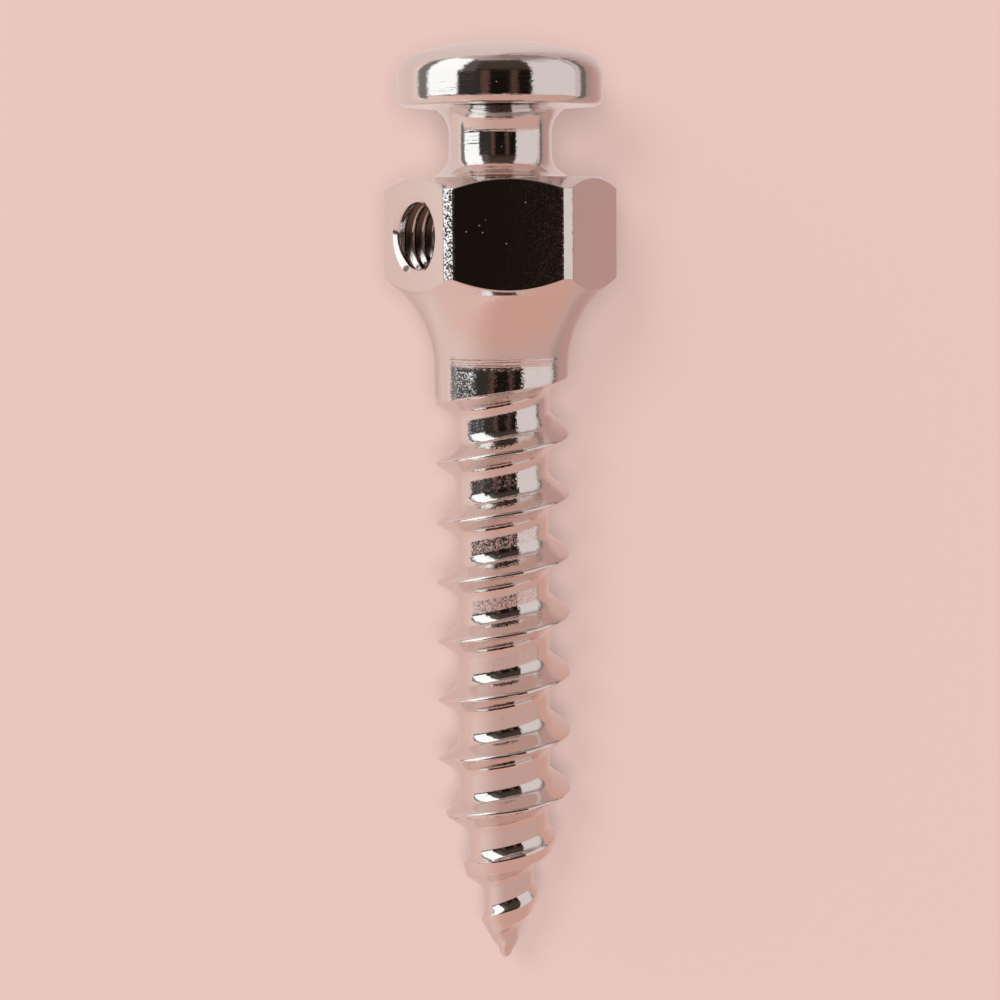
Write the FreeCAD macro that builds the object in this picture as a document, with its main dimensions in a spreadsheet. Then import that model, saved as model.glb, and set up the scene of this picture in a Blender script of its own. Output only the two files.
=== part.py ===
import FreeCAD, Part
import math
import os
import Sketcher

# An orthodontic mini screw: one piece of surgical steel, turned from a bar, milled to a hexagon,
# cross drilled and thread whirled. It is drawn upright, with its tip at the origin, its head up
# and its cross hole along X, then laid down as it rests on a table, with the origin under the
# middle of its box. Lengths are in millimetres and angles in degrees.

SIZES = {
    # tip and tapered end
    "tip_rounding": 0.065,
    "tip_length": 0.485,
    "tip_dia": 0.6,
    "taper_length": 1.605,
    # threaded shank, with the plain collar at its head end
    "shank_dia": 1.6,
    "shank_length": 5.14,
    "collar_length": 0.36,
    # flare between the collar and the hexagon
    "flare_length": 0.9,
    "flare_dia": 2.34,
    # hexagon for the driver
    "hexagon_height": 1.36,
    "hexagon_flats": 2.45,
    "hexagon_corners": 2.76,
    "hexagon_top_dia": 2.38,
    "hexagon_top_chamfer": 0.14,
    "hexagon_foot_chamfer": 0.17,
    # neck that holds an elastic or a wire
    "neck_dia": 1.22,
    "neck_length": 0.83,
    "neck_fillet": 0.28,
    # button head
    "button_dia": 2.44,
    "button_height": 0.78,
    "button_crown_radius": 3.3,
    "button_side": 0.24,
    "button_foot_rounding": 0.1,
    # cross hole through the hexagon, at the core of its fine thread
    "hole_dia": 0.78,
    "hole_mouth_dia": 0.92,
    # bone thread
    "pitch": 0.72,
    "core_dia": 1.1,
    "crest_width": 0.025,
    "head_flank_angle": 32.0,
    "tip_flank_angle": 36.0,
    "root_radius": 0.17,
    "core_taper_length": 1.83,
    "core_end_dia": 0.156,
    "runout_start": -55.0,
    "runout_angle": 150.0,
    # how far cutters pass outside the blank
    "cutter_overlap": 0.12,
}

doc = FreeCAD.newDocument("orthodontic_mini_screw")
sheet = doc.addObject("Spreadsheet::Sheet", "sizes")
for row, (alias, value) in enumerate(SIZES.items(), start=1):
    sheet.set(f"A{row}", alias)
    sheet.set(f"B{row}", str(value))
    sheet.setAlias(f"B{row}", alias)
doc.recompute()

SHANK_FOOT = "sizes.tip_length + sizes.taper_length"
HEXAGON_FOOT = f"{SHANK_FOOT} + sizes.shank_length + sizes.flare_length"
HEXAGON_TOP = f"{HEXAGON_FOOT} + sizes.hexagon_height"

# Ends of a sketch element, as constraints name them
START, END, CENTRE = range(1, 4)
ORIGIN, VERTICAL_AXIS = (-1, 1), -2


def size(alias):
    """One size from the sheet."""
    return float(sheet.get(alias))


def point(across, up):
    """A point of a sketch."""
    return FreeCAD.Vector(across, up, 0)


def line(a, b):
    """A straight element from a to b."""
    return Part.LineSegment(point(*a), point(*b))


def arc(centre, radius, first, last):
    """A round element, counterclockwise between two angles in degrees."""
    circle = Part.Circle(point(*centre), FreeCAD.Vector(0, 0, 1), radius)
    return Part.ArcOfCircle(circle, math.radians(first), math.radians(last))


def new_sketch(body, name, plane, elements):
    """A sketch on one of the body's own planes, holding the given elements."""
    sketch = body.newObject("Sketcher::SketchObject", name)
    planes = [item for item in body.Origin.OriginFeatures if item.Role == plane]
    sketch.AttachmentSupport = (planes[0], [""])
    sketch.MapMode = "FlatFace"
    sketch.addGeometry(elements, False)
    return sketch


def relate(sketch, kind, *ends):
    """A constraint without a size."""
    flat = [part for end in ends for part in (end if isinstance(end, tuple) else (end,))]
    sketch.addConstraint(Sketcher.Constraint(kind, *flat))


def measure(sketch, kind, ends, formula):
    """A constraint whose size is a formula of the sheet's cells."""
    flat = [part for end in ends for part in (end if isinstance(end, tuple) else (end,))]
    index = sketch.addConstraint(Sketcher.Constraint(kind, *flat, float(sketch.evalExpression(formula))))
    sketch.setExpression(f"Constraints[{index}]", formula)


def turned_profile(body):
    """Half the section of the turned blank, from the tip up to the crown of the button."""
    tip_r, shank_r = size("tip_dia") / 2, size("shank_dia") / 2
    flare_r, corner_r = size("flare_dia") / 2, size("hexagon_corners") / 2
    top_r, neck_r, button_r = size("hexagon_top_dia") / 2, size("neck_dia") / 2, size("button_dia") / 2
    point_r, fillet, foot_r = size("tip_rounding"), size("neck_fillet"), size("button_foot_rounding")
    crown = size("button_crown_radius")

    taper_foot = size("tip_length")
    shank_foot = taper_foot + size("taper_length")
    flare_foot = shank_foot + size("shank_length")
    hexagon_foot = flare_foot + size("flare_length")
    hexagon_top = hexagon_foot + size("hexagon_height")
    button_foot = hexagon_top + size("neck_length")
    side_foot = button_foot + foot_r
    side_top = side_foot + size("button_side")
    button_top = button_foot + size("button_height")

    # The tip's cone touches its rounding, the flare touches the collar, and the button's shoulder
    # touches both its side and its crown. These work out where.
    reach = math.hypot(tip_r, taper_foot - point_r)
    touch = math.atan2(taper_foot - point_r, tip_r) - math.acos(point_r / reach)
    widening = flare_r - shank_r
    flare_radius = (widening ** 2 + size("flare_length") ** 2) / (2 * widening)
    flare_turn = math.degrees(math.asin(size("flare_length") / flare_radius))
    crown_centre = button_top - crown
    shoulder = (crown ** 2 - button_r ** 2 - (side_top - crown_centre) ** 2) / (2 * (crown - button_r))
    lean = math.degrees(math.atan2(side_top - crown_centre, button_r - shoulder))
    shoulder_top = (crown * math.cos(math.radians(lean)), crown_centre + crown * math.sin(math.radians(lean)))
    cone_foot = (point_r * math.cos(touch), point_r + point_r * math.sin(touch))

    profile = [
        arc((0, point_r), point_r, -90, math.degrees(touch)),
        line(cone_foot, (tip_r, taper_foot)),
        line((tip_r, taper_foot), (shank_r, shank_foot)),
        line((shank_r, shank_foot), (shank_r, flare_foot)),
        arc((shank_r + flare_radius, flare_foot), flare_radius, 180 - flare_turn, 180),
        line((flare_r, hexagon_foot), (corner_r, hexagon_foot + size("hexagon_foot_chamfer"))),
        line((corner_r, hexagon_foot + size("hexagon_foot_chamfer")),
             (corner_r, hexagon_top - size("hexagon_top_chamfer"))),
        line((corner_r, hexagon_top - size("hexagon_top_chamfer")), (top_r, hexagon_top)),
        line((top_r, hexagon_top), (neck_r + fillet, hexagon_top)),
        arc((neck_r + fillet, hexagon_top + fillet), fillet, 180, 270),
        line((neck_r, hexagon_top + fillet), (neck_r, button_foot - fillet)),
        arc((neck_r + fillet, button_foot - fillet), fillet, 90, 180),
        line((neck_r + fillet, button_foot), (button_r - foot_r, button_foot)),
        arc((button_r - foot_r, side_foot), foot_r, -90, 0),
        line((button_r, side_foot), (button_r, side_top)),
        arc((button_r - shoulder, side_top), shoulder, 0, lean),
        arc((0, crown_centre), crown, lean, 90),
        line((0, button_top), (0, 0)),
    ]
    (TIP, CONE, TAPER, SHANK, FLARE, FOOT_CHAMFER, CORNER, TOP_CHAMFER, TOP, LOW_FILLET, NECK,
     HIGH_FILLET, UNDERSIDE, FOOT_ROUNDING, SIDE, SHOULDER, CROWN, AXIS) = range(len(profile))
    sketch = new_sketch(body, "turned_profile", "XZ_Plane", profile)

    for first, second in (
        ((CONE, END), (TAPER, START)), ((TAPER, END), (SHANK, START)),
        ((FLARE, START), (FOOT_CHAMFER, START)), ((FOOT_CHAMFER, END), (CORNER, START)),
        ((CORNER, END), (TOP_CHAMFER, START)), ((TOP_CHAMFER, END), (TOP, START)),
        ((CROWN, END), (AXIS, START)), ((AXIS, END), (TIP, START)), ((TIP, START), ORIGIN),
    ):
        relate(sketch, "Coincident", first, second)
    for first, second in (
        ((TIP, END), (CONE, START)), ((SHANK, END), (FLARE, END)), ((TOP, END), (LOW_FILLET, END)),
        ((LOW_FILLET, START), (NECK, START)), ((NECK, END), (HIGH_FILLET, END)),
        ((HIGH_FILLET, START), (UNDERSIDE, START)), ((UNDERSIDE, END), (FOOT_ROUNDING, START)),
        ((FOOT_ROUNDING, END), (SIDE, START)), ((SIDE, END), (SHOULDER, START)),
        ((SHOULDER, END), (CROWN, START)),
    ):
        relate(sketch, "Tangent", first, second)
    for upright in (SHANK, CORNER, NECK, SIDE, AXIS):
        relate(sketch, "Vertical", upright)
    for level in (TOP, UNDERSIDE):
        relate(sketch, "Horizontal", level)
    for centre in (TIP, CROWN):
        relate(sketch, "PointOnObject", (centre, CENTRE), VERTICAL_AXIS)
    relate(sketch, "Equal", LOW_FILLET, HIGH_FILLET)

    for end, formula in (
        ((TAPER, START), "sizes.tip_dia"), ((TAPER, END), "sizes.shank_dia"),
        ((FLARE, START), "sizes.flare_dia"), ((CORNER, START), "sizes.hexagon_corners"),
        ((TOP, START), "sizes.hexagon_top_dia"), ((NECK, START), "sizes.neck_dia"),
        ((SIDE, START), "sizes.button_dia"),
    ):
        measure(sketch, "DistanceX", (ORIGIN, end), f"({formula}) / 2")
    for lower, upper, formula in (
        (ORIGIN, (TAPER, START), "sizes.tip_length"),
        ((TAPER, START), (TAPER, END), "sizes.taper_length"),
        ((SHANK, START), (SHANK, END), "sizes.shank_length"),
        ((SHANK, END), (FLARE, START), "sizes.flare_length"),
        ((FOOT_CHAMFER, START), (FOOT_CHAMFER, END), "sizes.hexagon_foot_chamfer"),
        ((TOP_CHAMFER, START), (TOP_CHAMFER, END), "sizes.hexagon_top_chamfer"),
        ((FLARE, START), (TOP, START), "sizes.hexagon_height"),
        ((TOP, START), (UNDERSIDE, START), "sizes.neck_length"),
        ((SIDE, START), (SIDE, END), "sizes.button_side"),
        ((UNDERSIDE, START), (CROWN, END), "sizes.button_height"),
    ):
        measure(sketch, "DistanceY", (lower, upper), formula)
    for bend, formula in (
        (TIP, "sizes.tip_rounding"), (LOW_FILLET, "sizes.neck_fillet"),
        (FOOT_ROUNDING, "sizes.button_foot_rounding"), (CROWN, "sizes.button_crown_radius"),
    ):
        measure(sketch, "Radius", (bend,), formula)
    return sketch


def hexagon_outline(body):
    """What the mill takes off: a ring outside the hexagon, seen from above the hexagon's top."""
    corner = size("hexagon_flats") / 2 / math.cos(math.radians(30))
    spots = [(corner * math.cos(math.radians(30 + 60 * turn)),
              corner * math.sin(math.radians(30 + 60 * turn))) for turn in range(6)]
    sides = [line(spots[turn], spots[(turn + 1) % 6]) for turn in range(6)]
    outside = Part.Circle(point(0, 0), FreeCAD.Vector(0, 0, 1), size("hexagon_flats"))
    guide = Part.Circle(point(0, 0), FreeCAD.Vector(0, 0, 1), corner)
    sketch = new_sketch(body, "hexagon_outline", "XY_Plane", sides + [outside, guide])
    RING, GUIDE = 6, 7
    sketch.toggleConstruction(GUIDE)
    sketch.setExpression("AttachmentOffset.Base.z", HEXAGON_TOP)
    for turn in range(6):
        relate(sketch, "Coincident", (turn, END), ((turn + 1) % 6, START))
        relate(sketch, "PointOnObject", (turn, START), GUIDE)
    for turn in range(1, 6):
        relate(sketch, "Equal", 0, turn)
    for circle in (RING, GUIDE):
        relate(sketch, "Coincident", (circle, CENTRE), ORIGIN)
    relate(sketch, "Vertical", 2)
    measure(sketch, "DistanceX", ((2, START), (5, START)), "sizes.hexagon_flats")
    measure(sketch, "Radius", (RING,), "sizes.hexagon_flats + sizes.cutter_overlap")
    return sketch


def hole_profile(body):
    """Half the section of the cross hole with its two countersunk mouths."""
    bore, mouth, over = size("hole_dia") / 2, size("hole_mouth_dia") / 2, size("cutter_overlap")
    face = size("hexagon_flats") / 2
    inner, outer, wide = face - (mouth - bore), face + over, mouth + over
    middle = (size("tip_length") + size("taper_length") + size("shank_length") + size("flare_length")
              + size("hexagon_height") / 2)
    spots = [(-outer, middle), (outer, middle), (outer, middle + wide), (inner, middle + bore),
             (-inner, middle + bore), (-outer, middle + wide)]
    sides = [line(spots[turn], spots[(turn + 1) % 6]) for turn in range(6)]
    sketch = new_sketch(body, "hole_profile", "XZ_Plane", sides)
    AXIS, RIGHT, RIGHT_MOUTH, BORE, LEFT_MOUTH, LEFT = range(6)
    for turn in range(6):
        relate(sketch, "Coincident", (turn, END), ((turn + 1) % 6, START))
    for upright in (RIGHT, LEFT):
        relate(sketch, "Vertical", upright)
    relate(sketch, "Symmetric", (AXIS, START), (AXIS, END), VERTICAL_AXIS)
    relate(sketch, "Symmetric", (BORE, START), (BORE, END), VERTICAL_AXIS)
    relate(sketch, "Equal", RIGHT, LEFT)
    measure(sketch, "DistanceY", (ORIGIN, (AXIS, END)), f"{HEXAGON_FOOT} + sizes.hexagon_height / 2")
    measure(sketch, "DistanceX", ((AXIS, START), (AXIS, END)),
            "sizes.hexagon_flats + 2 * sizes.cutter_overlap")
    measure(sketch, "DistanceY", ((RIGHT, START), (RIGHT, END)),
            "sizes.hole_mouth_dia / 2 + sizes.cutter_overlap")
    measure(sketch, "DistanceY", ((AXIS, END), (BORE, START)), "sizes.hole_dia / 2")
    measure(sketch, "DistanceX", ((BORE, END), (BORE, START)),
            "sizes.hexagon_flats - (sizes.hole_mouth_dia - sizes.hole_dia)")
    return sketch


def make_blank():
    """The screw before its thread is cut."""
    body = doc.addObject("PartDesign::Body", "blank")
    turned = body.newObject("PartDesign::Revolution", "turned")
    turned.Profile = turned_profile(body)
    turned.ReferenceAxis = (turned.Profile[0], ["V_Axis"])
    turned.Angle = 360

    flats = body.newObject("PartDesign::Pocket", "hexagon")
    flats.Profile = hexagon_outline(body)
    flats.setExpression("Length", "sizes.hexagon_height")

    hole = body.newObject("PartDesign::Groove", "cross_hole")
    hole.Profile = hole_profile(body)
    hole.ReferenceAxis = (hole.Profile[0], ["Edge1"])
    hole.Angle = 360
    return body


def smooth_step(share):
    """Rises from 0 to 1 and is level at both ends."""
    share = min(max(share, 0.0), 1.0)
    return share * share * (3 - 2 * share)


def thread_height(turned):
    """Height of the middle of the thread groove where it has turned this many degrees from +X."""
    shank_top = size("tip_length") + size("taper_length") + size("shank_length")
    return shank_top - size("collar_length") + size("pitch") * turned / 360


def core_radius(turned):
    """Radius of the groove's floor: even along the shank, tapered to the tip, run out at the top."""
    core, blend = size("core_dia") / 2, size("pitch") / 4
    slope = (core - size("core_end_dia") / 2) / size("core_taper_length")
    below = size("core_taper_length") - thread_height(turned)
    if below > blend:
        radius = core - slope * below
    elif below > -blend:
        radius = core - slope * (below + blend) ** 2 / (4 * blend)
    else:
        radius = core
    lift = size("shank_dia") / 2 - core + size("cutter_overlap") / 4
    return radius + lift * smooth_step((turned - size("runout_start")) / size("runout_angle"))


def groove_section():
    """The groove's section at +X, with its lower edge at the origin's height."""
    core, crest = size("core_dia") / 2, size("shank_dia") / 2
    root, over = size("root_radius"), size("cutter_overlap")
    low, high = size("crest_width") / 2, size("pitch") - size("crest_width") / 2

    def spot(radius, height):
        return FreeCAD.Vector(radius, 0, height)

    def flank(edge, side, angle):
        """A straight flank and the root's arc, from the crest in to the floor."""
        lean = math.radians(angle)
        run = crest - core - root * (1 - math.sin(lean))
        bend_height = edge + side * run * math.tan(lean)
        floor_height = bend_height + side * root * math.cos(lean)
        half = (math.pi / 2 - lean) / 2
        middle = spot(core + root - root * math.cos(half), floor_height - side * root * math.sin(half))
        outer, bend, floor = spot(crest, edge), spot(crest - run, bend_height), spot(core, floor_height)
        return outer, floor, [Part.LineSegment(outer, bend), Part.Arc(bend, middle, floor)]

    low_edge, low_floor, low_flank = flank(low, 1, size("tip_flank_angle"))
    high_edge, high_floor, high_flank = flank(high, -1, size("head_flank_angle"))
    outside = [low_edge + spot(over, 0) - spot(0, 0), high_edge + spot(over, 0) - spot(0, 0)]
    curves = low_flank + high_flank + [
        Part.LineSegment(low_floor, high_floor),
        Part.LineSegment(high_edge, outside[1]),
        Part.LineSegment(outside[1], outside[0]),
        Part.LineSegment(outside[0], low_edge),
    ]
    return Part.Wire(Part.__sortEdges__([curve.toShape() for curve in curves]))


def groove_path():
    """The helix that the lower edge of the groove's floor follows, from the run-out to the tip."""
    step, steps_per_edge = 15.0, 24
    first = size("runout_start") + size("runout_angle")
    count = math.ceil((thread_height(first) + size("pitch") / 8) / size("pitch") * 360 / step)
    spots = []
    for index in range(count + 1):
        turned = first - step * index
        radius, height = core_radius(turned), thread_height(turned) - size("pitch") / 2
        spots.append(FreeCAD.Vector(radius * math.cos(math.radians(turned)),
                                    radius * math.sin(math.radians(turned)), height))
    helix = Part.BSplineCurve()
    helix.interpolate(Points=spots)
    marks = [helix.parameter(spot) for spot in spots]
    edges = []
    for low in range(0, count, steps_per_edge):
        span = helix.copy()
        span.segment(marks[low], marks[min(low + steps_per_edge, count)])
        edges.append(span.toShape())
    return Part.Wire(edges), first


def make_groove():
    """The space that the thread cutter sweeps out."""
    path, first = groove_path()
    section = groove_section()
    section.translate(FreeCAD.Vector(core_radius(first) - size("core_dia") / 2, 0, 0))
    section.translate(FreeCAD.Vector(0, 0, thread_height(first) - size("pitch") / 2))
    section.rotate(FreeCAD.Vector(0, 0, 0), FreeCAD.Vector(0, 0, 1), first)
    sweep = Part.BRepOffsetAPI.MakePipeShell(path)
    sweep.setBiNormalMode(FreeCAD.Vector(0, 0, 1))
    sweep.add(section, False, False)
    sweep.build()
    sweep.makeSolid()
    groove = doc.addObject("Part::Feature", "thread_groove")
    groove.Shape = sweep.shape()
    return groove


def rest_turn():
    """The turn that lays the screw on one flat of its hexagon and on its last full crest."""
    flat_foot = (size("tip_length") + size("taper_length") + size("shank_length") + size("flare_length")
                 + size("hexagon_foot_chamfer") * (size("hexagon_flats") - size("flare_dia"))
                 / (size("hexagon_corners") - size("flare_dia")))
    flat_turn = 30
    shank_foot = size("tip_length") + size("taper_length")
    crest_under = thread_height(90 - flat_turn) - size("pitch") / 2 - size("crest_width") / 2
    last_crest = shank_foot + (crest_under - shank_foot) % size("pitch")
    drop = (size("hexagon_flats") - size("shank_dia")) / 2
    tilt = math.degrees(math.atan2(drop, flat_foot - last_crest))
    flat_down = FreeCAD.Rotation(FreeCAD.Vector(0, 0, 1), flat_turn)
    lying = FreeCAD.Rotation(FreeCAD.Vector(1, 0, 0), tilt - 90)
    return lying.multiply(flat_down)


blank = make_blank()
groove = make_groove()
doc.recompute()

screw = doc.addObject("Part::Cut", "threaded")
screw.Base = blank
screw.Tool = groove
screw.Label = "mini_screw"
doc.recompute()

# Lying down, the lowest point is at height 0 and the middle of the box is over the origin
screw.Placement = FreeCAD.Placement(FreeCAD.Vector(0, 0, 0), rest_turn())
doc.recompute()
box = FreeCAD.BoundBox()
for spot in screw.Shape.tessellate(0.01)[0]:
    box.add(spot)
screw.Placement.Base = FreeCAD.Vector(-box.Center.x, -box.Center.y, -box.ZMin)
doc.recompute()

for item in doc.Objects:
    if "Invalid" in item.State or "Error" in item.State:
        raise RuntimeError(f"{item.Name} failed: {item.State}")
if screw.Shape.isNull() or not screw.Shape.isValid() or len(screw.Shape.Solids) != 1:
    raise RuntimeError("the screw is not one valid solid")

os.makedirs("parts", exist_ok=True)
screw.Shape.exportStep(f"parts/{screw.Label}.step")
print(screw.Label, "volume", round(screw.Shape.Volume, 4), "faces", len(screw.Shape.Faces))
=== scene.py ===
import math

import bpy
import numpy as np
from mathutils import Matrix, Vector


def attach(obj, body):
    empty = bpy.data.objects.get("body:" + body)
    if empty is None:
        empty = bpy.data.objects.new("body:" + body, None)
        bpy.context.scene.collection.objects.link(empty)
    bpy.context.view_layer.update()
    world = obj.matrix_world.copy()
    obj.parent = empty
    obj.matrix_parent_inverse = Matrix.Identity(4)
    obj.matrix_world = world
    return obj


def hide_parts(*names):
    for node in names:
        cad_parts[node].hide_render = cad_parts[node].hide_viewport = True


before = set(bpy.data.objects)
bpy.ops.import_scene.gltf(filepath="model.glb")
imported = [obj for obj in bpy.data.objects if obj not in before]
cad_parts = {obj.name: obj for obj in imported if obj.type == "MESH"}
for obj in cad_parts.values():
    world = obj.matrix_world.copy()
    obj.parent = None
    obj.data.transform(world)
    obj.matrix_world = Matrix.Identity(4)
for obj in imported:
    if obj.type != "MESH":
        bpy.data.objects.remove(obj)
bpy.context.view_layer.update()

# The screw is shaped upright and a thousand times its size, so a unit is a millimetre there,
# with its tip at the origin and its head up. Then it is laid down at its real size.
MM = 0.001

# Columns of faces round the screw and round the cross hole
COLUMNS = 120
HOLE_COLUMNS = 80

# Vertices closer than this are made one, within a piece and where two pieces meet
MERGE = 1e-5
SEAM_MERGE = 1e-4

# Turned shape: radii and heights
SHANK_R = 0.8
SHANK_FOOT = 2.09
TIP_ROUNDING = 0.065
TIP_CONE = (0.3, 0.485)
COLLAR_TOP = 7.23
FLARE_TOP = (1.17, 8.13)
CORNER_R = 1.38
LAND = (8.30, 9.35)
HEXAGON_TOP = (1.19, 9.49)
HEXAGON_FLATS = 1.225
NECK_R = 0.61
NECK_FILLET = 0.28
UPPER_FILLET = (0.27, 0.32)
BUTTON_FOOT = 10.32
BUTTON_R = 1.22
BUTTON_FOOT_ROUNDING = 0.1
BUTTON_SIDE_TOP = 10.66
BUTTON_TOP = 11.10
CROWN_R = 3.3

# Bone thread
PITCH = 0.72
GROOVE_START = 6.87
THREAD_DEPTH = 0.25
CORE_R = 0.55
CORE_TAPER = 1.83
CORE_END_R = 0.078
TIP_FLANK = math.radians(36)
HEAD_FLANK = math.radians(32)
ROOT_R = 0.17
HALF_CREST = 0.0125
RUN_OUT = (-55.0, 150.0)
HEAD_CREST_ROUNDING = 0.03
TIP_CREST_ROUNDING = 0.015

# Turns that are swept: more than the thread has, because the rows over the nose close up
SWEPT_TURNS = 12

# Cross hole and its fine thread
HOLE_HEIGHT = 8.81
HOLE_R = 0.39
HOLE_THREAD_R = 0.45
HOLE_MOUTH_R = 0.46
HOLE_MOUTH_SLOPE = math.tan(math.radians(60))
HOLE_PITCH = 0.14
HOLE_THREAD_END = 1.15

# How wide the broken edges are, and the least angles, in degrees, between faces whose edge is
# shaded sharp: on the head as it is milled, and on the rest
EDGE_BREAK = 0.012
MILLED_SHARP = 7
SHARP = 30

# How the screw lies: the lean of its axis and the place of its tip, in degrees and millimetres
LEAN = 4.136
TIP_PLACE = (0, -5.539752, 0.632207)
FLAT_TURN = 30

# The steel, and the painted shade, dark and dull, in the thread of the cross hole
STEEL_TINT = (0.84, 0.81, 0.79)
STEEL_ROUGHNESS = 0.07
HOLE_SHADE_TINT = (0.17, 0.125, 0.1)
HOLE_SHADE_ROUGHNESS = 0.37

# How many grains and pits there are to a millimetre, and marks along each axis of the screw
GRAINS = 68
PITS = 7
DRAWN_LINES = (45, 45, 10)
DASHES = (9, 9, 48)
RINGS = (0.8, 0.8, 30)

# How far the grains tilt, as a share, and how deep the marks are, in thousandths of a millimetre
GRAIN_TILT = 0.075
DRAWN_DEPTH = 0.06
DASH_DEPTH = 0.6
RING_DEPTH = 1.0
PIT_DEPTH = 1.6
MICRON = 1e-6

# Heights between which the hexagon, the neck with the button, and the collar have their own marks
HEXAGON_ZONE = (8.15, 9.45)
BUTTON_ZONE = (9.6, 11.0)
COLLAR_ZONE = (7.27, 7.41)

# How high, in degrees along the screw, the pink lower part of the room ends, and how softly
LOW_EDGE = -8.0
LOW_EDGE_BLUR = 1.2

# How bright the plain light is that reaches the floor from all round, where 1 is white
AMBIENT = 0.5

# The floor and the glowing card round the screw, which paints reflections and shade into the
# steel, are square and this wide, in metres
SHEET_SIZE = 2


def select_nothing():
    """Leaves edit mode and leaves nothing selected."""
    if bpy.context.object and bpy.context.object.mode == "EDIT":
        bpy.ops.object.mode_set(mode="OBJECT")
    bpy.ops.object.select_all(action="DESELECT")


def edit(piece):
    """Opens one piece alone, with all of it selected."""
    select_nothing()
    piece.select_set(True)
    bpy.context.view_layer.objects.active = piece
    bpy.ops.object.mode_set(mode="EDIT")
    bpy.ops.mesh.select_all(action="SELECT")


def finish_edit():
    """Merges doubles, turns the faces outwards and leaves edit mode."""
    bpy.ops.mesh.select_all(action="SELECT")
    bpy.ops.mesh.remove_doubles(threshold=MERGE)
    bpy.ops.mesh.normals_make_consistent(inside=False)
    bpy.ops.object.mode_set(mode="OBJECT")


def drawn_line(name, spots):
    """A chain of edges, drawn by extruding one vertex from spot to spot."""
    select_nothing()
    bpy.ops.mesh.primitive_plane_add(size=1, location=(0, 0, 0))
    piece = bpy.context.object
    piece.name = name
    piece.data.name = name
    edit(piece)
    bpy.ops.mesh.merge(type="CENTER")
    spots = [Vector(spot) for spot in spots]
    bpy.ops.transform.translate(value=spots[0])
    for here, there in zip(spots, spots[1:]):
        bpy.ops.mesh.extrude_region_move(TRANSFORM_OT_translate={"value": there - here})
    return piece


def bow(centre, radius, first, last, parts, tall=1):
    """Spots of an arc between two angles in degrees, as (radius, height) pairs."""
    angles = np.radians(np.linspace(first, last, parts + 1))
    return [(centre[0] + radius * math.cos(angle), centre[1] + tall * radius * math.sin(angle))
            for angle in angles]


def head_profile():
    """Half the section of the turned head, from the collar's top to the crown."""
    widening, rise = FLARE_TOP[0] - SHANK_R, FLARE_TOP[1] - COLLAR_TOP
    flare_r = (widening ** 2 + rise ** 2) / (2 * widening)
    flare_turn = math.degrees(math.asin(rise / flare_r))
    crown_centre = BUTTON_TOP - CROWN_R
    shoulder = ((CROWN_R ** 2 - BUTTON_R ** 2 - (BUTTON_SIDE_TOP - crown_centre) ** 2)
                / (2 * (CROWN_R - BUTTON_R)))
    lean = math.degrees(math.atan2(BUTTON_SIDE_TOP - crown_centre, BUTTON_R - shoulder))
    fillet_r = NECK_R + NECK_FILLET
    foot_r = BUTTON_R - BUTTON_FOOT_ROUNDING
    foot_top = BUTTON_FOOT + BUTTON_FOOT_ROUNDING
    spots = bow((SHANK_R + flare_r, COLLAR_TOP), flare_r, 180, 180 - flare_turn, 12)
    spots += [(CORNER_R, LAND[0]), (CORNER_R, LAND[1]), HEXAGON_TOP]
    spots += bow((fillet_r, HEXAGON_TOP[1] + NECK_FILLET), NECK_FILLET, 270, 180, 15)
    wide, tall = UPPER_FILLET
    spots += bow((NECK_R + wide, BUTTON_FOOT - tall), wide, 180, 90, 18, tall / wide)
    spots += bow((foot_r, foot_top), BUTTON_FOOT_ROUNDING, -90, 0, 15)
    spots += bow((BUTTON_R - shoulder, BUTTON_SIDE_TOP), shoulder, 0, lean, 12)
    spots += bow((0, crown_centre), CROWN_R, lean, 90, 8)[1:]
    return [(radius, 0, height) for radius, height in spots]


def spun(piece, axis, centre, steps):
    """Turns an open chain of edges into a closed round surface."""
    edit(piece)
    bpy.ops.mesh.spin(steps=steps, angle=math.tau, center=centre, axis=axis)
    finish_edit()


def place_vertices(piece, spots):
    """Puts the piece's vertices at new spots."""
    piece.data.vertices.foreach_set("co", np.asarray(spots, np.float32).ravel())
    piece.data.update()


def vertex_spots(piece):
    """The spots of the piece's vertices."""
    spots = np.zeros(len(piece.data.vertices) * 3, np.float32)
    piece.data.vertices.foreach_get("co", spots)
    return spots.reshape(-1, 3).astype(float)


def make_head():
    """Flare, hexagon, neck and button: turned, then milled to six flats."""
    head = drawn_line("mini_screw_head", head_profile())
    spun(head, (0, 0, 1), (0, 0, 0), COLUMNS)
    edit(head)
    for turn in range(6):
        angle = math.radians(60 * turn)
        out = Vector((math.cos(angle), math.sin(angle), 0))
        bpy.ops.mesh.select_all(action="SELECT")
        bpy.ops.mesh.bisect(plane_co=out * HEXAGON_FLATS, plane_no=out, use_fill=True,
                            clear_outer=True)
    finish_edit()
    return head


def ease_edges(piece, width):
    """Breaks the sharp edges as tumbling does, the milled flats' and the turned ones."""
    edit(piece)
    bpy.ops.mesh.select_mode(type="EDGE")
    bpy.ops.mesh.select_all(action="DESELECT")
    bpy.ops.mesh.edges_select_sharp(sharpness=math.radians(20))
    bpy.ops.mesh.bevel(offset=width, segments=2, affect="EDGES")
    bpy.ops.mesh.select_mode(type="VERT")
    finish_edit()


def smooth_step(share):
    """Rises from 0 to 1 and is level at both ends."""
    share = np.clip(share, 0, 1)
    return share * share * (3 - 2 * share)


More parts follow.
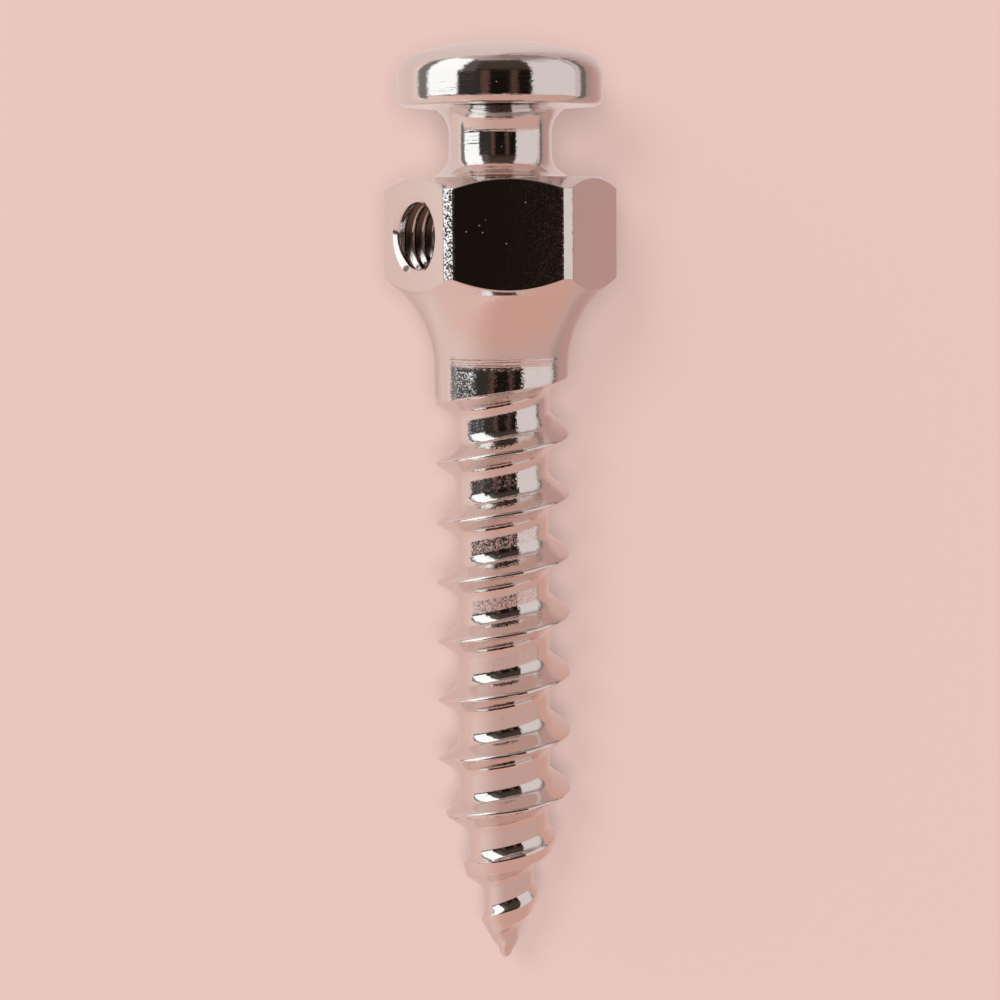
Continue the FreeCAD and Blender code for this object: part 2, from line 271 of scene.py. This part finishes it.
def make_tap():
    """The space of the cross hole, with its fine thread and countersunk mouths."""
    # Rows along the hole: fine near the mouths, where they show, and coarse in the middle
    past_flat, middle, fine, coarse = 0.13, 0.6, 0.0095, 0.02
    near = np.arange(middle, HEXAGON_FLATS + past_flat, fine)
    rows = np.arange(coarse - middle, middle - coarse / 2, coarse)
    rows = np.concatenate([-near[::-1], rows, near])
    line = [(rows[0], 0, HOLE_HEIGHT)]
    line += [(x, 0, HOLE_HEIGHT + HOLE_R) for x in rows]
    line += [(rows[-1], 0, HOLE_HEIGHT)]
    tap = drawn_line("tap", line)
    spun(tap, (1, 0, 0), (0, 0, HOLE_HEIGHT), HOLE_COLUMNS)

    # The thread's groove, which fades out before the mouths, and the countersinks
    spots = vertex_spots(tap)
    across, up = spots[:, 1], spots[:, 2] - HOLE_HEIGHT
    radius = np.hypot(across, up)
    turned = np.arctan2(up, across) / math.tau
    phase = (spots[:, 0] / HOLE_PITCH - turned) % 1
    groove = 0.5 - 0.5 * np.cos(math.tau * phase)
    fade = 0.05
    depth = (HOLE_THREAD_R - HOLE_R) * smooth_step((HOLE_THREAD_END - np.abs(spots[:, 0])) / fade)
    thread = HOLE_R + depth * groove
    mouth = HOLE_MOUTH_R - (HEXAGON_FLATS - np.abs(spots[:, 0])) * HOLE_MOUTH_SLOPE
    wanted = np.maximum(thread, mouth)
    share = np.where(radius > HOLE_R / 2, wanted / np.maximum(radius, 1e-9), 0)
    spots[:, 1] = across * share
    spots[:, 2] = HOLE_HEIGHT + up * share
    place_vertices(tap, spots)
    return tap


def cut_hole(head):
    """Drills and taps the cross hole, with the head's open foot closed meanwhile."""
    edit(head)
    bpy.ops.mesh.select_all(action="DESELECT")
    bpy.ops.mesh.select_mode(type="EDGE")
    bpy.ops.mesh.select_non_manifold()
    bpy.ops.mesh.edge_face_add()
    bpy.ops.mesh.select_mode(type="VERT")
    bpy.ops.object.mode_set(mode="OBJECT")
    tap = make_tap()
    smoothed(tap, SHARP)
    select_nothing()
    bpy.context.view_layer.objects.active = head
    head.select_set(True)
    cut = head.modifiers.new("cross hole", "BOOLEAN")
    cut.operation = "DIFFERENCE"
    cut.solver = "EXACT"
    cut.object = tap
    bpy.ops.object.modifier_apply(modifier=cut.name)
    bpy.data.objects.remove(tap)
    edit(head)
    bpy.ops.mesh.select_all(action="DESELECT")
    bpy.ops.mesh.select_mode(type="FACE")
    bpy.ops.object.mode_set(mode="OBJECT")
    for face in head.data.polygons:
        face.select = all(head.data.vertices[i].co.z < COLLAR_TOP + SEAM_MERGE
                          for i in face.vertices)
    bpy.ops.object.mode_set(mode="EDIT")
    bpy.ops.mesh.delete(type="ONLY_FACE")
    bpy.ops.mesh.select_mode(type="VERT")
    finish_edit()


def core_radius(turned):
    """Radius of the thread groove's floor where it has turned this many degrees from +X."""
    blend = PITCH / 4
    slope = (CORE_R - CORE_END_R) / CORE_TAPER
    below = CORE_TAPER - (GROOVE_START + PITCH * turned / 360)
    taper = np.where(below > blend, slope * below,
                     slope * np.clip(below + blend, 0, None) ** 2 / (4 * blend))
    past_shank = 0.03
    lift = SHANK_R - CORE_R + past_shank
    return CORE_R - taper + lift * smooth_step((turned - RUN_OUT[0]) / RUN_OUT[1])


def groove_depth(offset):
    """How far the groove's wall stands out from its floor, at a height from its middle."""
    depth = np.zeros_like(offset)
    for side, lean in ((-1, TIP_FLANK), (1, HEAD_FLANK)):
        edge = PITCH / 2 - HALF_CREST
        run = THREAD_DEPTH - ROOT_R * (1 - math.sin(lean))
        bend = edge - run * math.tan(lean)
        floor = bend - ROOT_R * math.cos(lean)
        height = side * offset
        inner = np.clip(height - floor, 0, ROOT_R * math.cos(lean))
        arc = ROOT_R - np.sqrt(ROOT_R ** 2 - inner ** 2)
        flank = THREAD_DEPTH - run + (height - bend) / math.tan(lean)
        wall = np.where(height > bend, flank, arc)
        depth = np.where(height > floor, wall, depth)
    return depth


def blank_radius(height):
    """Radius of the tip, the taper and the shank before the thread."""
    reach = math.hypot(TIP_CONE[0], TIP_CONE[1] - TIP_ROUNDING)
    touch = (math.atan2(TIP_CONE[1] - TIP_ROUNDING, TIP_CONE[0])
             - math.acos(TIP_ROUNDING / reach))
    cone_foot = (TIP_ROUNDING * math.cos(touch), TIP_ROUNDING * (1 + math.sin(touch)))
    ball = np.sqrt(np.clip(TIP_ROUNDING ** 2 - (height - TIP_ROUNDING) ** 2, 0, None))
    walls = np.interp(height, [cone_foot[1], TIP_CONE[1], SHANK_FOOT, COLLAR_TOP],
                      [cone_foot[0], TIP_CONE[0], SHANK_R, SHANK_R])
    return np.where(height < cone_foot[1], ball, walls)


def soft_minimum(a, b, width):
    """The smaller of two, with the corner where they meet rounded over."""
    near = np.clip(width - np.abs(a - b), 0, None) / width
    return np.minimum(a, b) - near * near * width / 4


def threaded_radius(angle, height):
    """Radius of the finished surface at an angle in degrees and a height."""
    wall = np.full_like(height, np.inf)
    nearest = np.round((height - GROOVE_START - PITCH * angle / 360) / PITCH)
    for neighbour in (-1, 0, 1):
        turned = angle + 360 * (nearest + neighbour)
        offset = height - GROOVE_START - PITCH * turned / 360
        wall = np.minimum(wall, core_radius(turned) + groove_depth(offset))
        if neighbour == 0:
            above_crest = offset < 0
    # Near the point the rounding and the groove keep to shares of the blank
    blank = blank_radius(height)
    most_rounding, least_radius = 0.4, 0.2
    width = np.where(above_crest, HEAD_CREST_ROUNDING, TIP_CREST_ROUNDING)
    width = np.minimum(width, blank * most_rounding + 1e-6)
    return np.maximum(soft_minimum(blank, wall, width), blank * least_radius)


def make_thread():
    """The collar, the thread and the tip: one pitch swept up a helix, then set to depth."""
    # Rows up one pitch, closest at the crest
    near = np.array([0, 0.006, 0.0125, 0.018, 0.024, 0.032, 0.042, 0.054, 0.068, 0.083, 0.1,
                     0.118, 0.136, 0.155, 0.175, 0.195, 0.215, 0.235, 0.255, 0.275, 0.295,
                     0.315, 0.3375])
    rises = np.concatenate([near, PITCH - near[::-1]])
    foot = COLLAR_TOP - SWEPT_TURNS * PITCH
    thread = drawn_line("mini_screw", [(1, 0, foot + rise) for rise in rises])
    bpy.ops.object.mode_set(mode="OBJECT")
    sweep = thread.modifiers.new("sweep", "SCREW")
    sweep.angle = math.tau
    sweep.screw_offset = PITCH
    sweep.iterations = SWEPT_TURNS
    sweep.steps = COLUMNS
    sweep.render_steps = COLUMNS
    sweep.use_merge_vertices = True
    sweep.merge_threshold = SEAM_MERGE
    bpy.ops.object.modifier_apply(modifier=sweep.name)

    spots = vertex_spots(thread)
    angle = np.degrees(np.arctan2(spots[:, 1], spots[:, 0]))
    column = 360 / COLUMNS
    angle = np.round(angle / column) * column
    height = np.minimum(spots[:, 2], COLLAR_TOP)

    # Over the nose the rows close up, and the last ones meet in the point
    nose, point = 0.12, 2e-4
    height = np.where(height < nose, nose * np.exp((height - nose) / nose), height)
    height = np.where(height < point, 0, height)
    radius = np.where(height > 0, threaded_radius(angle, height), 0)
    radius = np.where(height >= COLLAR_TOP, SHANK_R, radius)
    turn = np.radians(angle)
    place_vertices(thread, np.column_stack([radius * np.cos(turn), radius * np.sin(turn), height]))
    edit(thread)
    finish_edit()
    return thread


def smoothed(piece, angle, keep=False):
    """Shades the piece smooth but for edges sharper than an angle in degrees."""
    select_nothing()
    piece.select_set(True)
    bpy.context.view_layer.objects.active = piece
    bpy.ops.object.shade_smooth_by_angle(angle=math.radians(angle), keep_sharp_edges=keep)


def lying_turn():
    """The turn that lays the screw on a flat of its hexagon and on its thread."""
    lean = Matrix.Rotation(math.radians(LEAN - 90), 4, "X")
    return lean @ Matrix.Rotation(math.radians(FLAT_TURN), 4, "Z")


def make_screw():
    """The whole screw in one closed mesh, laid down at its real size."""
    head = make_head()
    ease_edges(head, EDGE_BREAK)
    smoothed(head, MILLED_SHARP)
    cut_hole(head)
    smoothed(head, SHARP, keep=True)
    screw = make_thread()
    smoothed(screw, SHARP)
    select_nothing()
    head.select_set(True)
    screw.select_set(True)
    bpy.context.view_layer.objects.active = screw
    bpy.ops.object.join()
    edit(screw)
    bpy.ops.mesh.remove_doubles(threshold=SEAM_MERGE)
    bpy.ops.mesh.normals_make_consistent(inside=False)
    bpy.ops.object.mode_set(mode="OBJECT")
    lay = Matrix.Translation(Vector(TIP_PLACE) * MM) @ lying_turn() @ Matrix.Scale(MM, 4)
    screw.data.transform(lay)
    screw.data.update()
    return screw


screw = make_screw()
screw.name = "mini_screw_steel"

# Directions of the view: towards the camera across the screw, along the screw, and to the right.
# The camera stands a little past the middle of one flat. Both are in degrees round the screw.
VIEWED_FLAT = -120
PAST_FLAT = -4.16
ALONG = lying_turn() @ Vector((0, 0, 1))
AZIMUTH = math.radians(VIEWED_FLAT + PAST_FLAT)
ACROSS = lying_turn() @ Vector((math.cos(AZIMUTH), math.sin(AZIMUTH), 0))
RIGHT = ALONG.cross(ACROSS)


def node(tree, kind, **settings):
    """A shader node with some of its settings."""
    made = tree.nodes.new(kind)
    for key, value in settings.items():
        setattr(made, key, value)
    return made


def linear(red, green, blue):
    """A colour as it is seen on a screen, from 0 to 255, as the shader's own numbers."""
    parts = [part / 255 for part in (red, green, blue)]
    return [part / 12.92 if part <= 0.04045 else ((part + 0.055) / 1.055) ** 2.4
            for part in parts]


def mirrored(red, green, blue):
    """The colour of a thing in the room that looks like this in the steel."""
    return [part / tint for part, tint in zip(linear(red, green, blue), STEEL_TINT)]


def math_node(tree, operation, *values):
    """A sum, product or the like of values, each a socket or a number."""
    made = node(tree, "ShaderNodeMath", operation=operation)
    for socket, value in zip(made.inputs, values):
        if isinstance(value, (int, float)):
            socket.default_value = value
        else:
            tree.links.new(value, socket)
    return made.outputs[0]


def ramp(tree, value, low, high):
    """Rises smoothly from 0 to 1 between two values, or falls where low is the greater."""
    rise = node(tree, "ShaderNodeMapRange", interpolation_type="SMOOTHSTEP")
    tree.links.new(value, rise.inputs["Value"])
    rise.inputs["From Min"].default_value = min(low, high)
    rise.inputs["From Max"].default_value = max(low, high)
    rise.inputs["To Min"].default_value = 0 if low < high else 1
    rise.inputs["To Max"].default_value = 1 if low < high else 0
    return rise.outputs["Result"]


def between(tree, value, low, high, soft):
    """A mask that is 1 between two values and fades over a soft edge."""
    return math_node(tree, "MULTIPLY", ramp(tree, value, low - soft / 2, low + soft / 2),
                     ramp(tree, value, high + soft / 2, high - soft / 2))


def mixed(tree, share, first, second):
    """Two colours mixed by a share, each a socket or a colour as seen in the steel."""
    made = node(tree, "ShaderNodeMix", data_type="RGBA")
    tree.links.new(share, made.inputs["Factor"])
    for socket, colour in ((made.inputs[6], first), (made.inputs[7], second)):
        if isinstance(colour, tuple):
            socket.default_value = (*mirrored(*colour), 1)
        else:
            tree.links.new(colour, socket)
    return made.outputs[2]


def scaled(tree, place, stretch, shift=(0, 0, 0)):
    """A place stretched along each axis and then shifted."""
    moved = node(tree, "ShaderNodeVectorMath", operation="MULTIPLY_ADD")
    tree.links.new(place, moved.inputs[0])
    moved.inputs[1].default_value = stretch
    moved.inputs[2].default_value = shift
    return moved.outputs["Vector"]


def marks(tree, place, stretch, detail):
    """Fine noise from -1 to 1, with so many marks to a millimetre along each axis."""
    noise = node(tree, "ShaderNodeTexNoise")
    noise.inputs["Scale"].default_value = 1
    noise.inputs["Detail"].default_value = detail
    tree.links.new(scaled(tree, place, stretch), noise.inputs["Vector"])
    return math_node(tree, "MULTIPLY_ADD", noise.outputs["Fac"], 2, -1)


def make_steel():
    """Polished surgical steel: turning marks round the axis, a fine grain and a few pits."""
    steel = bpy.data.materials.new("surgical steel")
    steel.use_nodes = True
    tree = steel.node_tree
    shader = tree.nodes["Principled BSDF"]
    shader.inputs["Metallic"].default_value = 1

    # The place on the screw, upright and in millimetres
    where = node(tree, "ShaderNodeTexCoord")
    upright = node(tree, "ShaderNodeMapping")
    back = lying_turn().inverted()
    upright.inputs["Scale"].default_value = (1 / MM, 1 / MM, 1 / MM)
    upright.inputs["Rotation"].default_value = back.to_euler()
    upright.inputs["Location"].default_value = -(back @ Vector(TIP_PLACE))
    tree.links.new(where.outputs["Object"], upright.inputs["Vector"])
    place = upright.outputs["Vector"]
    apart = node(tree, "ShaderNodeSeparateXYZ")
    tree.links.new(place, apart.inputs["Vector"])
    height = apart.outputs["Z"]

    # Grains that each tilt a little, more round the screw than along it: least on the flats, the
    # button and the neck and towards the tip, and most on the corners that are left as turned
    width = node(tree, "ShaderNodeVectorMath", operation="LENGTH")
    tree.links.new(scaled(tree, place, (1, 1, 0)), width.inputs[0])
    hexagon = between(tree, height, *HEXAGON_ZONE, 0.1)
    inward = ramp(tree, width.outputs["Value"], CORNER_R - 0.003, CORNER_R - 0.013)
    flats = math_node(tree, "MULTIPLY", hexagon, inward)
    corners = math_node(tree, "SUBTRACT", hexagon, flats)
    tilt = math_node(tree, "MULTIPLY_ADD", ramp(tree, height, 2, 6), 0.6, 0.4)
    tilt = math_node(tree, "MULTIPLY_ADD", flats, -0.6, tilt)
    tilt = math_node(tree, "MULTIPLY_ADD", corners, 2.2, tilt)
    tilt = math_node(tree, "MULTIPLY_ADD", ramp(tree, height, 9.5, 9.7), -0.7, tilt)
    tilt = math_node(tree, "MULTIPLY", tilt, GRAIN_TILT)
    grains = node(tree, "ShaderNodeTexVoronoi")
    grains.inputs["Scale"].default_value = GRAINS
    tree.links.new(place, grains.inputs["Vector"])
    tilted = node(tree, "ShaderNodeVectorMath", operation="SCALE")
    tree.links.new(scaled(tree, grains.outputs["Color"], (1, 0.45, 1), (-0.5, -0.225, -0.5)),
                   tilted.inputs[0])
    tree.links.new(tilt, tilted.inputs["Scale"])
    surface = node(tree, "ShaderNodeNewGeometry")
    grained = node(tree, "ShaderNodeVectorMath", operation="ADD")
    tree.links.new(surface.outputs["Normal"], grained.inputs[0])
    tree.links.new(tilted.outputs["Vector"], grained.inputs[1])
    facing = node(tree, "ShaderNodeVectorMath", operation="NORMALIZE")
    tree.links.new(grained.outputs["Vector"], facing.inputs[0])

    # Relief, in thousandths of a millimetre: fine lines drawn up the flats
    drawn = math_node(tree, "MULTIPLY", marks(tree, place, DRAWN_LINES, 2), flats)
    relief = math_node(tree, "MULTIPLY", drawn, DRAWN_DEPTH)

    # Turning marks: dashes and rings on the button and the neck, strong rings at the collar's top
    # and faint ones all over
    turned = between(tree, height, *BUTTON_ZONE, 0.1)
    dashes = math_node(tree, "MULTIPLY", marks(tree, place, DASHES, 2), turned)
    relief = math_node(tree, "MULTIPLY_ADD", dashes, DASH_DEPTH, relief)
    collar = between(tree, height, *COLLAR_ZONE, 0.03)
    turned = math_node(tree, "MULTIPLY_ADD", collar, 2.2, turned)
    turned = math_node(tree, "ADD", turned, 0.05)
    rings = math_node(tree, "MULTIPLY", marks(tree, place, RINGS, 3), turned)
    relief = math_node(tree, "MULTIPLY_ADD", rings, RING_DEPTH, relief)

    # Pits
    pits = node(tree, "ShaderNodeTexVoronoi")
    pits.inputs["Scale"].default_value = PITS
    tree.links.new(place, pits.inputs["Vector"])
    hollow = ramp(tree, pits.outputs["Distance"], 0.07, 0.02)
    relief = math_node(tree, "MULTIPLY_ADD", hollow, -PIT_DEPTH, relief)

    bump = node(tree, "ShaderNodeBump")
    bump.inputs["Strength"].default_value = 1
    bump.inputs["Distance"].default_value = MICRON
    tree.links.new(relief, bump.inputs["Height"])
    tree.links.new(facing.outputs["Vector"], bump.inputs["Normal"])
    tree.links.new(bump.outputs["Normal"], shader.inputs["Normal"])

    # Painted shade, dark and duller, in the grooves of the hole's thread: none low down, and
    # fading out before the mouths
    inside = node(tree, "ShaderNodeVectorMath", operation="LENGTH")
    tree.links.new(scaled(tree, place, (0, 1, 1), (0, 0, -HOLE_HEIGHT)), inside.inputs[0])
    hole_shade = between(tree, inside.outputs["Value"], HOLE_R + 0.011, HOLE_THREAD_R + 0.02, 0.01)
    hole_shade = math_node(tree, "MULTIPLY", hole_shade,
                     ramp(tree, height, HOLE_HEIGHT - 0.28, HOLE_HEIGHT - 0.12))
    depth = math_node(tree, "ABSOLUTE", apart.outputs["X"])
    hole_shade = math_node(tree, "MULTIPLY", hole_shade,
                     ramp(tree, depth, HOLE_THREAD_END + 0.01, HOLE_THREAD_END - 0.09))
    rough = math_node(tree, "MULTIPLY_ADD", hole_shade, HOLE_SHADE_ROUGHNESS - STEEL_ROUGHNESS,
                      STEEL_ROUGHNESS)
    tree.links.new(rough, shader.inputs["Roughness"])
    # The painted shade's dark tint over the steel's own
    tint = node(tree, "ShaderNodeMix", data_type="RGBA")
    tree.links.new(hole_shade, tint.inputs["Factor"])
    tint.inputs[6].default_value = (*STEEL_TINT, 1)
    tint.inputs[7].default_value = (*HOLE_SHADE_TINT, 1)
    tree.links.new(tint.outputs[2], shader.inputs["Base Color"])
    return steel


def low_pink(tree, rightward, rise):
    """The pink of the room low down, paler at the left and plainer towards the tip."""
    near = mixed(tree, rightward, (216, 186, 177), (191, 154, 144))
    deep = mixed(tree, rightward, (215, 177, 166), (198, 152, 138))
    return mixed(tree, ramp(tree, rise, -20, -45), near, deep)


def over_low_pink(tree, rise, low, upper):
    """The pink low down and what is above its soft edge."""
    above = ramp(tree, rise, LOW_EDGE - LOW_EDGE_BLUR, LOW_EDGE + LOW_EDGE_BLUR)
    return mixed(tree, above, low, upper)


def make_studio():
    """The room that the polished steel mirrors, by direction round and along the screw."""
    world = bpy.data.worlds.new("studio")
    bpy.context.scene.world = world
    world.use_nodes = True
    tree = world.node_tree
    tree.nodes.clear()
    output = node(tree, "ShaderNodeOutputWorld")
    light = node(tree, "ShaderNodeBackground")
    tree.links.new(light.outputs["Background"], output.inputs["Surface"])
    where = node(tree, "ShaderNodeTexCoord")
    parts = []
    for axis in (RIGHT, ACROSS, ALONG):
        dot = node(tree, "ShaderNodeVectorMath", operation="DOT_PRODUCT")
        tree.links.new(where.outputs["Generated"], dot.inputs[0])
        dot.inputs[1].default_value = axis
        parts.append(dot.outputs["Value"])
    around = math_node(tree, "ARCTAN2", parts[0], parts[1])
    around = math_node(tree, "DEGREES", around)
    rise = math_node(tree, "DEGREES", math_node(tree, "ARCSINE", parts[2]))

    # The pink room low down, paler at the left, and the dimmer room higher up
    low = low_pink(tree, ramp(tree, around, -80, -5), rise)
    side = mixed(tree, ramp(tree, around, -60, 60), (219, 198, 191), (148, 127, 120))
    high = mixed(tree, ramp(tree, around, -110, 20), (188, 172, 168), (136, 117, 110))
    colour = mixed(tree, ramp(tree, rise, 55, 70), side, high)

    # Things in the room: from and to around, soft edge, from and to along, soft edge, colour
    for left, right, blur, bottom, top, fade, seen in (
        # the dark panel behind the camera, hazier upwards, with a grey side and two warm struts
        (-47, 36, 4, -90, 60, 12, (66, 53, 46)),
        (-47, 36, 3, -90, 18, 30, (21, 15, 11)),
        (-47, -27, 8, -90, 60, 10, (84, 77, 73)),
        (-47, -22, 3, -90, 8, 10, (48, 43, 40)),
        (-21, -11.5, 4, -90, 14, 18, (84, 61, 53)),
        (11.5, 20, 4, -90, 14, 18, (76, 55, 47)),
        # the right soft box
        (36, 94, 3, -90, 53, 22, (208, 194, 190)),
        # the left soft box in its dark frame
        (-97, -46, 3, -90, 16, 5, (64, 60, 58)),
        (-100, -44, 5, 15, 62, 7, (253, 251, 248)),
        (-91, -48, 3, -2.8, 20, 2, (250, 249, 248)),
    ):
        mask = math_node(tree, "MULTIPLY", between(tree, around, left, right, blur),
                         between(tree, rise, bottom, top, fade))
        colour = mixed(tree, mask, colour, seen)
    colour = over_low_pink(tree, rise, low, colour)

    # The floor gets plain white light from all round
    path = node(tree, "ShaderNodeLightPath")
    plain = node(tree, "ShaderNodeMix", data_type="RGBA")
    tree.links.new(path.outputs["Is Diffuse Ray"], plain.inputs["Factor"])
    tree.links.new(colour, plain.inputs[6])
    plain.inputs[7].default_value = (AMBIENT, AMBIENT, AMBIENT, 1)
    tree.links.new(plain.outputs[2], light.inputs["Color"])


def make_painted_reflection_card():
    """A glowing card that lies round the screw and shows only in its polish: a painted reflection
    of the room's low part, with painted shade.
    """
    painted_reflection_card = bpy.data.materials.new("painted_reflection_card")
    painted_reflection_card.use_nodes = True
    tree = painted_reflection_card.node_tree
    tree.nodes.clear()
    output = node(tree, "ShaderNodeOutputMaterial")
    light = node(tree, "ShaderNodeEmission")
    tree.links.new(light.outputs["Emission"], output.inputs["Surface"])
    where = node(tree, "ShaderNodeTexCoord")
    apart = node(tree, "ShaderNodeSeparateXYZ")
    tree.links.new(where.outputs["Object"], apart.inputs["Vector"])

    # Millimetres across and out from the screw, and degrees up along it, seen from its shank
    middle = 1.5
    across = math_node(tree, "MULTIPLY", apart.outputs["X"], 1 / MM)
    along = math_node(tree, "MULTIPLY_ADD", apart.outputs["Y"], 1 / MM, -middle)
    out = math_node(tree, "ABSOLUTE", across)
    rise = math_node(tree, "DEGREES", math_node(tree, "ARCTAN2", along, out))

    # Painted reflections. Left: pale pink, then the soft box's dark frame and the box. Right: the
    # same, dimmer, as painted shade.
    left = mixed(tree, ramp(tree, out, 1, 2.6), (192, 160, 151), (215, 184, 175))
    left = mixed(tree, ramp(tree, out, 4, 7), left, (221, 201, 193))
    left = mixed(tree, ramp(tree, out, 6.5, 9.5), left, (116, 109, 106))
    left = mixed(tree, ramp(tree, out, 35, 80), left, (186, 180, 178))
    right = mixed(tree, ramp(tree, out, 1, 2), (196, 161, 153), (178, 139, 131))
    right = mixed(tree, ramp(tree, out, 3.5, 7), right, (154, 132, 125))
    right = mixed(tree, ramp(tree, out, 7.2, 9), right, (106, 91, 86))
    right = mixed(tree, ramp(tree, out, 12, 26), right, (194, 178, 174))

    # Below the soft edge the pink, with painted shade: dimmer at the right just under that edge,
    # and beside the screw as its shadow
    low = low_pink(tree, ramp(tree, across, -1, 1), rise)
    shade = math_node(tree, "MULTIPLY", ramp(tree, across, 1.2, 3), ramp(tree, rise, -26, -12))
    low = mixed(tree, math_node(tree, "MULTIPLY", shade, 0.8), low, (166, 137, 129))
    # A painted shadow: the pink darker close beside the screw
    painted_contact_shadow = math_node(tree, "MULTIPLY", ramp(tree, out, 2.6, 1), 0.7)
    low = mixed(tree, painted_contact_shadow, low, (203, 169, 160))
    upper = mixed(tree, ramp(tree, across, -1, 1), left, right)
    colour = over_low_pink(tree, rise, low, upper)

    # Past the button it is plain
    ahead = mixed(tree, ramp(tree, across, 0, 5), (211, 186, 180), (184, 157, 152))
    colour = mixed(tree, ramp(tree, rise, 45, 65), colour, ahead)
    tree.links.new(colour, light.inputs["Color"])

    # It lies just clear of the floor
    clear = 1e-5
    select_nothing()
    bpy.ops.mesh.primitive_plane_add(size=SHEET_SIZE, location=(0, 0, clear))
    sheet = bpy.context.object
    sheet.name = "painted_reflection_card"
    sheet.data.transform(sheet.matrix_world)
    sheet.location = (0, 0, 0)
    sheet.data.materials.append(painted_reflection_card)
    # It glows and is seen only in the steel's polish, as a painted reflection
    sheet.visible_camera = False
    sheet.visible_diffuse = False
    sheet.visible_shadow = False


def make_floor():
    """A plain pale floor under the screw."""
    select_nothing()
    bpy.ops.mesh.primitive_plane_add(size=SHEET_SIZE, location=(0, 0, 0))
    floor = bpy.context.object
    floor.name = "floor"
    paper = bpy.data.materials.new("pale floor")
    paper.use_nodes = True
    shader = paper.node_tree.nodes["Principled BSDF"]
    shader.inputs["Base Color"].default_value = (*linear(232, 198, 189), 1)
    shader.inputs["Roughness"].default_value = 0.9
    shader.inputs["Specular IOR Level"].default_value = 0
    floor.data.materials.append(paper)


def make_lamps():
    """A lamp over the screw and one at the upper left, for a faint soft shadow."""
    distance, size = 0.4, 0.16

    # The power at which one lamp would light a white sheet under it to plain white
    to_white = math.pi ** 2 * distance ** 2
    for name, share, aim in (
        ("overhead_lamp", 0.36, ACROSS + ALONG * 0.03),
        ("side_lamp", 0.19, ACROSS * 0.85 + ALONG * 0.4 - RIGHT * 0.35),
    ):
        select_nothing()
        bpy.ops.object.light_add(type="AREA", location=(0, 0, 0))
        lamp = bpy.context.object
        lamp.name = name
        lamp.data.shape = "DISK"
        lamp.data.size = size
        lamp.data.energy = to_white * share
        lamp.visible_glossy = False
        aim = aim.normalized()
        lamp.location = aim * distance
        lamp.rotation_euler = aim.to_track_quat("Z", "Y").to_euler()


def make_camera():
    """Stands where the photograph was taken from."""
    # Metres that a pixel of the photograph spans at the screw, and lengths in such pixels: from
    # the tip up to the picture's middle and left to it, to the camera, and the picture's width
    pixel = 0.012032e-3
    above_tip, left_of_tip, distance, width = 468.6, 2.7, 2609, 1000
    look_at = Vector(TIP_PLACE) * MM + (ALONG * above_tip - RIGHT * left_of_tip) * pixel
    pitch, roll = math.radians(6.37), math.radians(-0.42)
    out = ACROSS * math.cos(pitch) + ALONG * math.sin(pitch)
    up = ALONG * math.cos(pitch) - ACROSS * math.sin(pitch)
    side = up.cross(out)
    turned_side = side * math.cos(roll) + up * math.sin(roll)
    turned_up = up * math.cos(roll) - side * math.sin(roll)
    bpy.ops.object.camera_add(location=look_at + out * distance * pixel)
    camera = bpy.context.object
    camera.rotation_euler = Matrix((turned_side, turned_up, out)).transposed().to_euler()
    camera.data.sensor_width = 36
    camera.data.lens = camera.data.sensor_width * distance / width
    camera.data.clip_start = 0.001
    camera.data.clip_end = 2
    bpy.context.scene.camera = camera


steel = make_steel()
screw.data.materials.clear()
screw.data.materials.append(steel)
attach(screw, "root")
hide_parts("mini_screw")
screw.visible_diffuse = False

make_studio()
make_painted_reflection_card()
make_floor()
make_lamps()
make_camera()

bpy.context.scene.view_settings.view_transform = "Standard"
